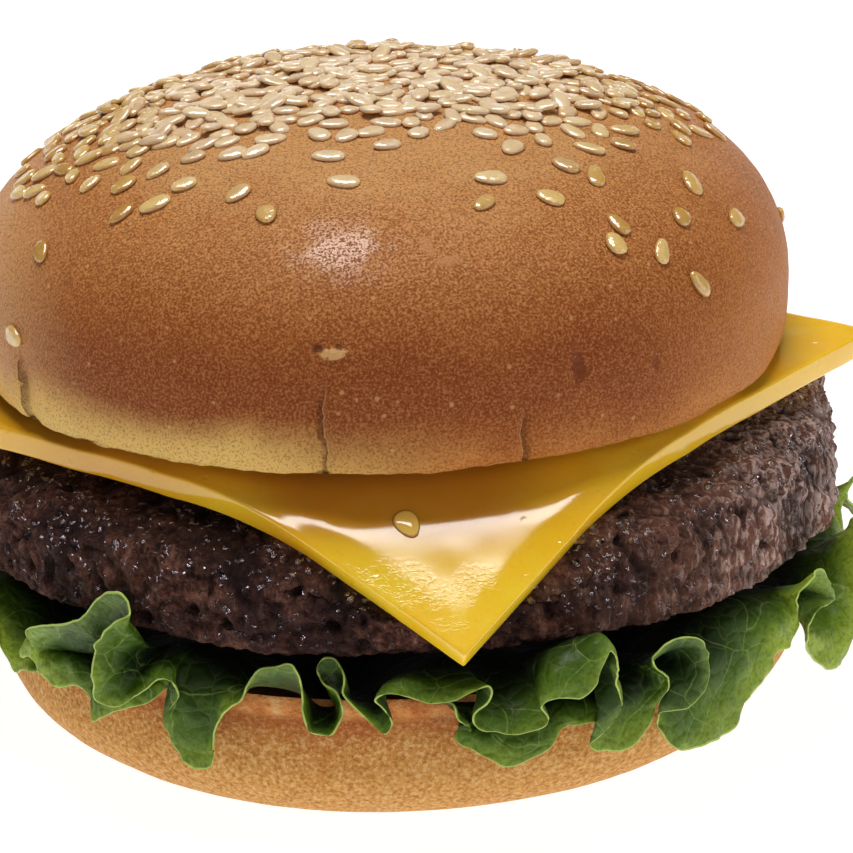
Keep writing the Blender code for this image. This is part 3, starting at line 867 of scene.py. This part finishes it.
def make_beef_patty():
    upper = superellipse(0.0, PATTY_RADIUS, PATTY_WIDEST_Z, PATTY_TOP_Z, PATTY_UPPER_SQUARENESS, 400)
    lower = superellipse(0.0, PATTY_RADIUS, PATTY_WIDEST_Z, PATTY_BOTTOM_Z, PATTY_LOWER_SQUARENESS, 200)
    profile = spaced(upper[::-1] + lower[1:], PATTY_STEP, 4 * MM, 40 * MM)
    mesh_edit = turned(profile, PATTY_SEGMENTS)
    hollow = mesh_edit.verts.layers.float.new("hollow")
    for corner in mesh_edit.verts:
        place = corner.co.copy()
        outward = Vector((place.x, place.y, 3.0 * (place.z - PATTY_WIDEST_Z))).normalized()
        relief = patty_relief(place)
        # How deep a point lies, which darkens it with painted shade in the finish
        corner[hollow] = smooth(relief, 0.1 * MM, -1.3 * MM)
        corner.co += outward * (relief + unevenness(place, (14, 1.1)))
        lowness = min(max((PATTY_TOP_Z - place.z) / (PATTY_TOP_Z - PATTY_BOTTOM_Z), 0.0), 1.0)
        corner.co.z -= patty_sag(place.x) * lowness
        corner.co.z = min(corner.co.z, under_cheese(corner.co.x, corner.co.y) - 0.15 * MM)
    return new_piece("grilled_patty", mesh_edit, patty_finish(), "beef_patty")


# ---- lettuce leaf

# The ruffled rim along the front, from left to right: bearing, reach mm and height mm of each point
FRONT_RUFFLES = [
    (-76, 61, 19), (-71, 62, 25), (-64, 61, 26), (-60, 58.5, 19), (-58, 57, 14), (-54, 57, 15.5),
    (-50, 57.5, 17), (-48.5, 59.5, 21), (-47.5, 61, 25), (-42.5, 61, 27), (-38, 61.5, 29.5),
    (-35, 61.5, 33), (-32, 62, 34), (-31, 62.5, 32), (-33, 62.5, 30), (-35, 63, 26.5), (-36, 63, 22.5),
    (-36.5, 61.5, 19), (-35, 59.5, 17.5), (-32, 58.5, 20), (-30, 58, 21.5), (-28.5, 57.5, 21),
    (-28.5, 57, 19), (-30.5, 57, 15.5), (-30, 57, 13.5), (-28.5, 57, 11), (-26.5, 57, 10),
    (-24, 57, 10.5), (-23.5, 57, 13), (-23, 57, 17), (-21, 57.5, 19), (-20, 57, 20), (-19, 56.5, 22),
    (-17.5, 56.5, 24), (-15, 56.5, 25), (-13, 57, 25.5), (-12.3, 57, 23.5), (-12.2, 57.5, 20),
    (-11.5, 58, 17.5), (-9, 58, 17.2), (-7.5, 57.5, 19), (-7.8, 56.5, 21.5), (-9.6, 55.5, 22.5),
    (-10.8, 55, 24), (-10, 55, 25.8), (-8.3, 55, 25.5), (-7, 56, 24), (-7, 57, 21.8), (-5, 58, 19.8),
    (-2.6, 59, 17.5), (-1.6, 59, 18.6), (-2.4, 59.5, 21), (-3.2, 59.5, 22.5), (-1.8, 60, 23.4),
    (0.5, 60, 22.8), (3, 60.5, 21.8), (5, 61.5, 22.6), (6.8, 62.5, 23.8), (8.8, 62.5, 24.6),
    (9.2, 62.5, 23.3), (7.6, 62, 21.3), (7.8, 62, 19.8), (9.8, 62, 18.5), (12.3, 62, 17.7),
    (14.7, 62, 18.1), (15.9, 62, 19), (15, 63, 21.2), (16.5, 63.5, 22.6), (18.9, 63.5, 22),
    (20.8, 63.5, 23.2), (21.8, 63, 25.2), (22.9, 62.5, 26.6), (24.6, 61.5, 23.8), (25, 60, 21),
    (25.6, 59, 18.5), (26, 58.5, 16.5), (24.5, 58, 14), (22, 58, 12.6), (24, 58, 11.2), (27.5, 58, 11),
    (30, 58.5, 13), (31.3, 59, 16), (31.5, 60, 19.5), (29.6, 60.5, 22.8), (30, 61, 24.6),
    (32, 61, 25.4), (34, 61, 25), (36, 61, 23.6), (37.2, 61, 20.5), (36.5, 61, 17.5), (34.5, 60, 15.2),
    (31.5, 59.5, 15), (31, 59, 13), (32.2, 59, 10.8), (34.5, 59, 9.2), (38, 59, 9), (41.5, 59, 8.6),
    (43.6, 59, 9.8), (45.5, 59, 12.2), (49, 59, 13.6), (50.5, 59.5, 16.5), (52.5, 60, 17),
    (54.5, 60, 19), (54, 60, 22.5), (54.5, 61, 24.5), (58, 61, 24.6), (61, 61, 22), (62.5, 61, 19),
    (58.5, 61, 19.5), (56.5, 60, 17.5), (56.5, 59.5, 14.5), (58.5, 60, 12), (61, 60.5, 9.5),
    (65, 61, 9), (67, 61.5, 12), (71, 62, 19), (75, 61.5, 24),
]
# How far the sheet of each lobe below lifts on its way out
LOBE_RISE = (8 * MM, 2.5 * MM)
# The rim of each lobe of the fold below, which shows between the ruffles: the same measures
LOWER_LOBES = [
    [(-56, 57, 17), (-50.5, 58.5, 19), (-48.5, 59, 17.6), (-45.5, 59, 16.8), (-42.5, 58.5, 17.5),
     (-40.8, 58, 16), (-40.5, 58, 13.5), (-38.5, 58, 14.8), (-36, 58, 16.4), (-32.5, 57.5, 17.8),
     (-30, 56, 20)],
    [(3, 55, 20), (5.5, 56.5, 20), (6.3, 57, 18), (7.6, 57, 16.5), (5.8, 57, 15.8), (6.8, 57.5, 14.4),
     (9.5, 57.5, 13), (11.5, 57.5, 11.6), (14, 57.5, 11.6), (17, 57.5, 13), (19, 57, 15),
     (22, 57, 15.4), (26, 57, 14.6), (30, 56, 15), (34, 55, 17)],
]
# Where the leaf bulges up before it drops to its rim: bearing, half width in degrees and how far it rises
LEAF_BULGES = [(-27, 8, 4 * MM), (2, 6, 6 * MM), (20.5, 5, 14 * MM), (44, 12, 8 * MM)]
# The freer ruffles behind: how many, and from how near and low to how far and high
BACK_RUFFLES = 14
POINTS_PER_RUFFLE = 5
BACK_REACH = (57.5, 61.5)
BACK_HEIGHT = (12.0, 24.0)
# How many rim points on either side set where the leaf leaves the stack below a point
ROOT_SPAN = 4
# How much of a line, as a share of its length on the leaf's map, lies flat in the stack
INNER_SHARE = 0.15
LEAF_ROWS = 30
LEAF_COLUMNS = 1300
LOBE_COLUMNS_PER_POINT = 12


def rim_points():
    """Rim points once round the leaf: the front ruffles, then the freer ones behind."""
    rng = random.Random(4)
    points = list(FRONT_RUFFLES)
    first = FRONT_RUFFLES[0][0] + 360
    last = FRONT_RUFFLES[-1][0]
    steps = BACK_RUFFLES * POINTS_PER_RUFFLE
    for step in range(1, steps):
        phase = 2.0 * math.pi * step / POINTS_PER_RUFFLE
        swing = 3.4 * math.sin(phase + 1.4 + rng.uniform(-0.5, 0.5))
        height = 0.5 + 0.5 * math.sin(phase) * rng.uniform(0.5, 1.0)
        points.append((
            last + (first - last) * step / steps + swing,
            BACK_REACH[0] + (BACK_REACH[1] - BACK_REACH[0]) * rng.random(),
            BACK_HEIGHT[0] + (BACK_HEIGHT[1] - BACK_HEIGHT[0]) * height,
        ))
    return points


def root_bearings(points, closed):
    """Where the leaf leaves the stack below each rim point: evenly past the folds of the rim."""
    total = len(points)
    roots = []
    for index in range(total):
        near = []
        for offset in range(-ROOT_SPAN, ROOT_SPAN + 1):
            at = index + offset
            turns = at // total if closed else 0
            at = at % total if closed else min(max(at, 0), total - 1)
            near.append(points[at][0] + 360 * turns)
        roots.append(sum(near) / len(near))
    return roots


def open_curve(values, count):
    """Smooth curve through the values, read at evenly spaced places from the first to the last."""
    doubled = closed_curve(values + values[::-1], count * 2)
    return doubled[:count]


def closed_curve(values, count):
    """Smooth closed curve through the values, read at evenly spaced places."""
    total = len(values)
    read = []
    for index in range(count):
        at = total * index / count
        start = int(at)
        part = at - start
        before, here, after, beyond = (values[(start + offset) % total] for offset in (-1, 0, 1, 2))
        slope_here = (after - before) * 0.5
        slope_after = (beyond - here) * 0.5
        square = part * part
        cube = square * part
        read.append(
            here * (2 * cube - 3 * square + 1) + slope_here * (cube - 2 * square + part)
            + after * (3 * square - 2 * cube) + slope_after * (cube - square)
        )
    return read


class LeafLine:
    """One line of the leaf, from its flat middle out to the rim."""

    def __init__(self, start, end, level, rise):
        """Level says where the root lies, 0 on the bottom bun and 1 under the patty.

        Rise lifts the sheet past its root.
        """
        self.inward = start.normalized()
        self.root = self.inward * LEAF_ROOT_RADIUS
        lowest = HEEL_TOP_Z + 0.6 * MM
        highest = under_patty(self.root.x) - 1.0 * MM
        self.root.z = lowest + (highest - lowest) * level
        reach = end.xy.length
        outwards = min(max(1.25 - ((end.z - rise) / MM) * 0.02, 0.6), 1.05)
        knee_reach = LEAF_ROOT_RADIUS + (reach - LEAF_ROOT_RADIUS) * outwards
        side = self.inward * 0.6 + Vector((end.x, end.y, 0.0)).normalized() * 0.4
        self.knee = side.normalized() * knee_reach
        self.knee.z = self.root.z + rise
        self.end = end

    def point(self, out):
        """Point at out, 0 at the burger's middle, INNER_SHARE at the root and 1 at the rim."""
        if out < INNER_SHARE:
            part = out / INNER_SHARE
            flat = self.inward * (LEAF_ROOT_RADIUS * part)
            flat.z = LEAF_MIDDLE_Z + (self.root.z - LEAF_MIDDLE_Z) * smooth(part, 0.8, 1.0)
            return flat
        part = (out - INNER_SHARE) / (1 - INNER_SHARE)
        return self.root * (1 - part) ** 2 + self.knee * 2 * part * (1 - part) + self.end * part ** 2


def leaf_lines(points, columns, closed, rise=0.0):
    curve = closed_curve if closed else open_curve
    rim = [on_bearing(bearing, reach * MM, height * MM) for bearing, reach, height in points]
    roots = root_bearings(points, closed)
    starts = curve([on_bearing(bearing, LEAF_ROOT_RADIUS, 0.0) for bearing in roots], columns)
    lines = []
    for start, end in zip(starts, curve(rim, columns)):
        wave = 0.5 + 0.5 * math.sin(LEAF_ROOT_WAVES * math.atan2(start.x, -start.y))
        bulge = sum(high * hump(bearing_of(start) - at, width) for at, width, high in LEAF_BULGES)
        if closed:
            lines.append(LeafLine(start, end, 0.15 + 0.85 * wave, bulge))
        else:
            lines.append(LeafLine(start, end, 0.0, rise))
    return lines


def add_leaf_sheet(leaf, lines, closed):
    """Adds a grid to the leaf, whose columns follow the lines. An open sheet starts at its roots."""
    columns = len(lines) if closed else len(lines) - 1
    sheet = bmesh.new()
    bmesh.ops.create_grid(sheet, x_segments=columns, y_segments=LEAF_ROWS, size=0.5)
    spread = sheet.loops.layers.uv.new("leaf")
    first = 0.0 if closed else INNER_SHARE
    for corner in sheet.verts:
        corner.co.y = first + (corner.co.y + 0.5) * (1.0 - first)
    for face in sheet.faces:
        for loop in face.loops:
            loop[spread].uv = (loop.vert.co.x + 0.5, loop.vert.co.y)
    for corner in sheet.verts:
        column = round((corner.co.x + 0.5) * columns) % len(lines)
        out = corner.co.y
        place = lines[column].point(out)
        crinkle = noise.noise_vector(place / (5.5 * MM)) * (1.0 - 0.5 * smooth(out, 0.8, 1.0)) * MM
        place += (crinkle + noise.noise_vector(place / (2.2 * MM)) * (0.3 * MM)) * smooth(out, 0.45, 0.9)
        ragged = unevenness(place, (1.1, 0.42), (3.0, 0.5)) * smooth(out, 0.93, 1.0)
        corner.co = place + place.normalized() * ragged
    bmesh.ops.remove_doubles(sheet, verts=sheet.verts, dist=WELD_DISTANCE)
    bmesh.ops.reverse_faces(sheet, faces=sheet.faces)
    leaf.from_mesh(finished_mesh("leaf sheet", sheet))


def make_lettuce_leaf():
    leaf_edit = bmesh.new()
    add_leaf_sheet(leaf_edit, leaf_lines(rim_points(), LEAF_COLUMNS, True), True)
    for lobe, rise in zip(LOWER_LOBES, LOBE_RISE):
        columns = LOBE_COLUMNS_PER_POINT * len(lobe)
        add_leaf_sheet(leaf_edit, leaf_lines(lobe, columns, False, rise), False)
    leaf = new_piece("lettuce_ruffles", leaf_edit, leaf_upper_finish(), "lettuce_leaf")
    leaf.data.materials.append(leaf_under_finish())
    wall = leaf.modifiers.new("leaf thickness", "SOLIDIFY")
    wall.thickness = LEAF_THICK
    wall.offset = 0.0
    wall.material_offset = 1
    return leaf


# ---- sesame seeds and moisture

SEED_LENGTH = 3.75 * MM
SEED_WIDTH = 2.55 * MM
SEED_THICK = 1.15 * MM
# How often a seed of the thick cover is tried, and how far from the dome's axis
SEED_TRIES = 9000
COVER_RADIUS = 47 * MM
# Loose seeds below the thick cover: bearing, elevation seen from the dome's middle, and turn
LOOSE_SEEDS = [
    (-7, 35, -12), (-28, 31, 38), (-20, 27.5, 98), (-43, 26.5, 10), (-48, 23.7, 28), (-59, 15, 80),
    (-59.5, 3, 85), (24.6, 33.4, 15), (20, 28.4, 55), (33, 27.2, -8), (46, 28.7, -80), (43, 32.4, -25),
    (63.7, 21.5, -60), (53.7, 18.3, 95), (66, 14.5, 80), (41, 20.4, -38), (38, 18, -58),
    (45, 15.2, -75), (49, 9.7, 10), (3.6, 46, 25), (-12.4, 42.2, -5), (-9.6, 50, 50), (-38, 40, 20),
    (-32.7, 41.6, 30), (-41, 31, 22), (-50.7, 32.2, 30), (-54.6, 28, 35), (-62.6, 26, 40),
    (-47, 37, 15), (37, 40, 70), (47.4, 39.6, -70), (54, 34, -15), (112, 20, 30), (131, 12, 70),
    (158, 22, -40), (172, 9, 20), (-166, 24, 10), (-141, 15, -60), (-120, 22, 35), (-97, 12, 75),
    (-84, 20, -15), (95, 6, 60), (-110, 3, -30),
]
# Lower edge of the thick cover: bearing and elevation
COVER_EDGE = [
    (-180, 30), (-130, 26), (-100, 20), (-76, 20), (-62, 27), (-52, 33), (-42, 40), (-34, 45),
    (-12, 49), (4, 50), (25, 48), (38, 42), (56, 36), (77, 30), (90, 22), (135, 26), (180, 30),
]


def cover_edge(bearing):
    for (start, low), (end, high) in zip(COVER_EDGE, COVER_EDGE[1:]):
        if bearing <= end:
            return low + (high - low) * (bearing - start) / (end - start)
    return COVER_EDGE[-1][1]


class SeedHeap:
    """Seeds joined into one mesh: each is made alone, placed and added."""

    def __init__(self):
        self.rng = random.Random(11)
        self.joined = bmesh.new()
        self.made = bpy.data.meshes.new("one seed")
        self.middles = []
        for name in ("tone", "edge"):
            self.joined.verts.layers.float.new(name)

    def add(self, placed):
        """Adds a flattened teardrop of its own size and tone, moved by the matrix placed."""
        seed = bmesh.new()
        tone_layer = seed.verts.layers.float.new("tone")
        edge_layer = seed.verts.layers.float.new("edge")
        bmesh.ops.create_uvsphere(seed, u_segments=8, v_segments=7, radius=0.5)
        tone = self.rng.random()
        length = SEED_LENGTH * self.rng.uniform(0.84, 1.12)
        width = SEED_WIDTH * self.rng.uniform(0.85, 1.15)
        dished = self.rng.uniform(0.30, 1.00)
        for corner in seed.verts:
            along, aside, up = corner.co.z * 2.0, corner.co.x * 2.0, corner.co.y * 2.0
            blunt = ((1.0 - min(abs(along), 0.999) ** 2.9) / (1.0 - min(abs(along), 0.999) ** 2)) ** 0.5
            taper = blunt * (1.0 - 0.26 * smooth(along, -0.3, 1.0))
            hollow = 1.0 - dished * hump(aside, 0.55) * hump(along, 0.6)
            corner[tone_layer] = tone
            corner[edge_layer] = smooth(abs(aside) + 0.35 * abs(along), 0.72, 1.05)
            thick = SEED_THICK * blunt * hollow
            corner.co = (0.5 * along * length, 0.5 * aside * width * taper, 0.5 * up * thick)
        bmesh.ops.transform(seed, matrix=placed, verts=seed.verts)
        seed.to_mesh(self.made)
        seed.free()
        self.joined.from_mesh(self.made)
        self.middles.append(placed.translation.copy())


def seed_matrix(surface, middle, bearing, elevation, turn, lift, tip):
    """Where a seed lies on the crust: its place, turned about the surface's normal and tipped."""
    angle = math.radians(elevation)
    outward = on_bearing(bearing, math.cos(angle), math.sin(angle))
    outward = (crown_placed().to_3x3() @ outward).normalized()
    place, normal = surface.ray_cast(middle + outward * 0.2, -outward)[:2]
    east = normal.cross(Vector((0, 1, 0)) if abs(normal.y) < 0.9 else Vector((1, 0, 0))).normalized()
    north = normal.cross(east)
    frame_matrix = Matrix((east, north, normal)).transposed().to_4x4()
    return (
        Matrix.Translation(place + normal * lift) @ frame_matrix
        @ Matrix.Rotation(math.radians(turn), 4, "Z") @ Matrix.Rotation(tip, 4, "Y")
    )


def dome_elevation(reach):
    """Elevation, seen from the dome's middle, of its surface this far from the axis."""
    share = 1 - (reach / CROWN_RADIUS) ** CROWN_DOME_ROUNDNESS
    height = (CROWN_TOP_Z - CROWN_WIDEST_Z) * share ** (1 / CROWN_DOME_ROUNDNESS)
    return math.degrees(math.atan2(height, reach))


def make_sesame_seeds(crust):
    crust_mesh = bmesh.new()
    crust_mesh.from_mesh(crust.data)
    surface = BVHTree.FromBMesh(crust_mesh)
    crust_mesh.free()
    middle = Vector((CROWN_CENTRE[0], CROWN_CENTRE[1], CROWN_WIDEST_Z))
    heap = SeedHeap()
    rng = heap.rng
    for bearing, elevation, turn in LOOSE_SEEDS:
        tip = rng.uniform(-0.08, 0.08)
        heap.add(seed_matrix(surface, middle, bearing, elevation, turn, 0.24 * MM, tip))
    for _ in range(SEED_TRIES):
        reach = COVER_RADIUS * math.sqrt(rng.random())
        bearing = rng.uniform(-180, 180)
        elevation = dome_elevation(reach)
        margin = elevation - cover_edge(bearing)
        place = on_bearing(bearing, reach, 0.0)
        bare = 0.5 + 0.5 * noise.noise(place / (7 * MM))
        gap = (3.2 - 1.1 * smooth(margin, -2, 16) + 0.9 * smooth(bare, 0.52, 0.75)) * MM
        stacked = margin > 10 and rng.random() < 0.08
        turn, lift, tip = rng.uniform(0, 360), rng.uniform(0.10, 0.30) * MM, rng.uniform(-0.14, 0.14)
        if stacked:
            gap, lift, tip = 1.3 * MM, 0.75 * MM, rng.uniform(-0.35, 0.35)
        if margin < rng.uniform(-3, 3):
            continue
        placed = seed_matrix(surface, middle, bearing, elevation, turn, lift, tip)
        if any((placed.translation - other).length < gap for other in heap.middles):
            continue
        heap.add(placed)
    return new_piece("sesame_seeds", heap.joined, seed_finish())


# The drop: how far ahead and aside of the slice's middle it lies, its size, and its turn on the slice
DROPLET_PLACE = (43.5 * MM, -4.6 * MM)
DROPLET_SIZE = (3.0 * MM, 4.0 * MM, 0.8 * MM)
DROPLET_TURN = 0.35


def make_droplet():
    """A drop of moisture on the cheese below the top bun's edge."""
    finish = Finish("moisture", Roughness=0.05, Specular_IOR_Level=0.9)
    # Amber towards its rim: painted shade at the drop's edge
    amber = finish.mix(finish.painted("rim"), shade(255, 206, 96), shade(136, 74, 6))
    mesh_edit = bmesh.new()
    rim_layer = mesh_edit.verts.layers.float.new("rim")
    bmesh.ops.create_uvsphere(mesh_edit, u_segments=32, v_segments=24, radius=0.5)
    top = cheese_point(*DROPLET_PLACE, 0.0)
    slope = bend(DROPLET_PLACE[0], *CORNER_BENDS["front"])[2]
    for corner in mesh_edit.verts:
        along = corner.co.y
        # How near the cheese a point lies, for the painted shade at the drop's edge
        corner[rim_layer] = smooth(corner.co.z, 0.30, 0.12)
        corner.co.x *= DROPLET_SIZE[0] * (1.0 + 0.5 * along)
        corner.co.y *= DROPLET_SIZE[1]
        corner.co.z *= DROPLET_SIZE[2]
    placed = Matrix.Translation(top) @ Matrix.Rotation(CHEESE_TURN, 4, "Z") @ Matrix.Rotation(slope, 4, "X")
    placed @= Matrix.Rotation(DROPLET_TURN, 4, "Z")
    bmesh.ops.transform(mesh_edit, matrix=placed, verts=mesh_edit.verts)
    return new_piece("cheese_droplet", mesh_edit, finish.feed(Base_Color=amber))


# ---- floor, light and camera

FLOOR_GAP = 0.05 * MM
LENS = 180.0
CAMERA_ELEVATION = 0.385
CAMERA_DISTANCE = 0.55
CAMERA_ROLL = -0.032
CAMERA_LEVEL = 0.035
CAMERA_TARGET = (0.0041, 0.0, 0.0324)


def make_floor():
    finish = Finish(
        "floor_white", Base_Color=(0.4, 0.4, 0.4, 1.0), Roughness=0.9,
        Emission_Color=(1.0, 0.99, 0.995, 1.0), Emission_Strength=0.92,
    )
    mesh_edit = bmesh.new()
    bmesh.ops.create_grid(mesh_edit, x_segments=1, y_segments=1, size=4.0)
    floor = in_scene("floor", finished_mesh("floor", mesh_edit))
    floor.data.materials.append(finish.material)
    floor.location.z = cad_box[0][2] - FLOOR_GAP


def aimed(place, target):
    """Stands something at a place, looking at a target."""
    place = Vector(place)
    turned_to = (Vector(target) - place).to_track_quat("-Z", "Y")
    return Matrix.Translation(place) @ turned_to.to_matrix().to_4x4()


def soft_light(name, place, target, size, power, colour=(1.0, 1.0, 1.0)):
    lamp = bpy.data.lights.new(name, "AREA")
    lamp.shape = "RECTANGLE"
    lamp.size, lamp.size_y = size
    lamp.energy = power
    lamp.color = colour
    in_scene(name, lamp).matrix_world = aimed(place, target)


def make_lights():
    soft_light("overhead", (-0.03, 0.033, 0.73), (-0.03, 0.033, 0.0), (0.42, 0.367), 4.2)
    soft_light("front_fill", (0.25, -0.80, 0.45), (0, 0, 0.04), (0.6, 0.4), 0.8)
    soft_light("right_fill", (0.95, -0.15, 0.35), (0, 0, 0.04), (0.6, 0.5), 1.2)
    soft_light("left_fill", (-0.90, -0.35, 0.35), (0, 0, 0.05), (0.5, 0.5), 0.5)
    soft_light("white_sweep", (0.0, 1.10, 0.16), (0, 0, 0.06), (1.8, 0.28), 2.0, (1.0, 0.96, 0.97))
    world = bpy.data.worlds.new("studio")
    world.use_nodes = True
    world.node_tree.nodes["Background"].inputs["Color"].default_value = (1.0, 1.0, 1.0, 1.0)
    world.node_tree.nodes["Background"].inputs["Strength"].default_value = 0.09
    bpy.context.scene.world = world
    bpy.context.scene.view_settings.view_transform = "Standard"


def make_camera():
    """A long lens at the front, looking down 22 degrees, with the picture turned a little."""
    data = bpy.data.cameras.new("camera")
    data.lens = LENS
    data.sensor_width = 36.0
    camera = in_scene("camera", data)
    back = CAMERA_DISTANCE * math.cos(CAMERA_ELEVATION)
    up = CAMERA_DISTANCE * math.sin(CAMERA_ELEVATION)
    eye = Vector((0.0, -back, CAMERA_LEVEL + up))
    camera.matrix_world = aimed(eye, CAMERA_TARGET) @ Matrix.Rotation(CAMERA_ROLL, 4, "Z")
    bpy.context.scene.camera = camera


def main():
    make_bottom_bun()
    make_lettuce_leaf()
    make_beef_patty()
    make_cheese_slice()
    crust = make_top_bun()
    make_sesame_seeds(crust)
    make_droplet()
    make_floor()
    make_lights()
    make_camera()


main()
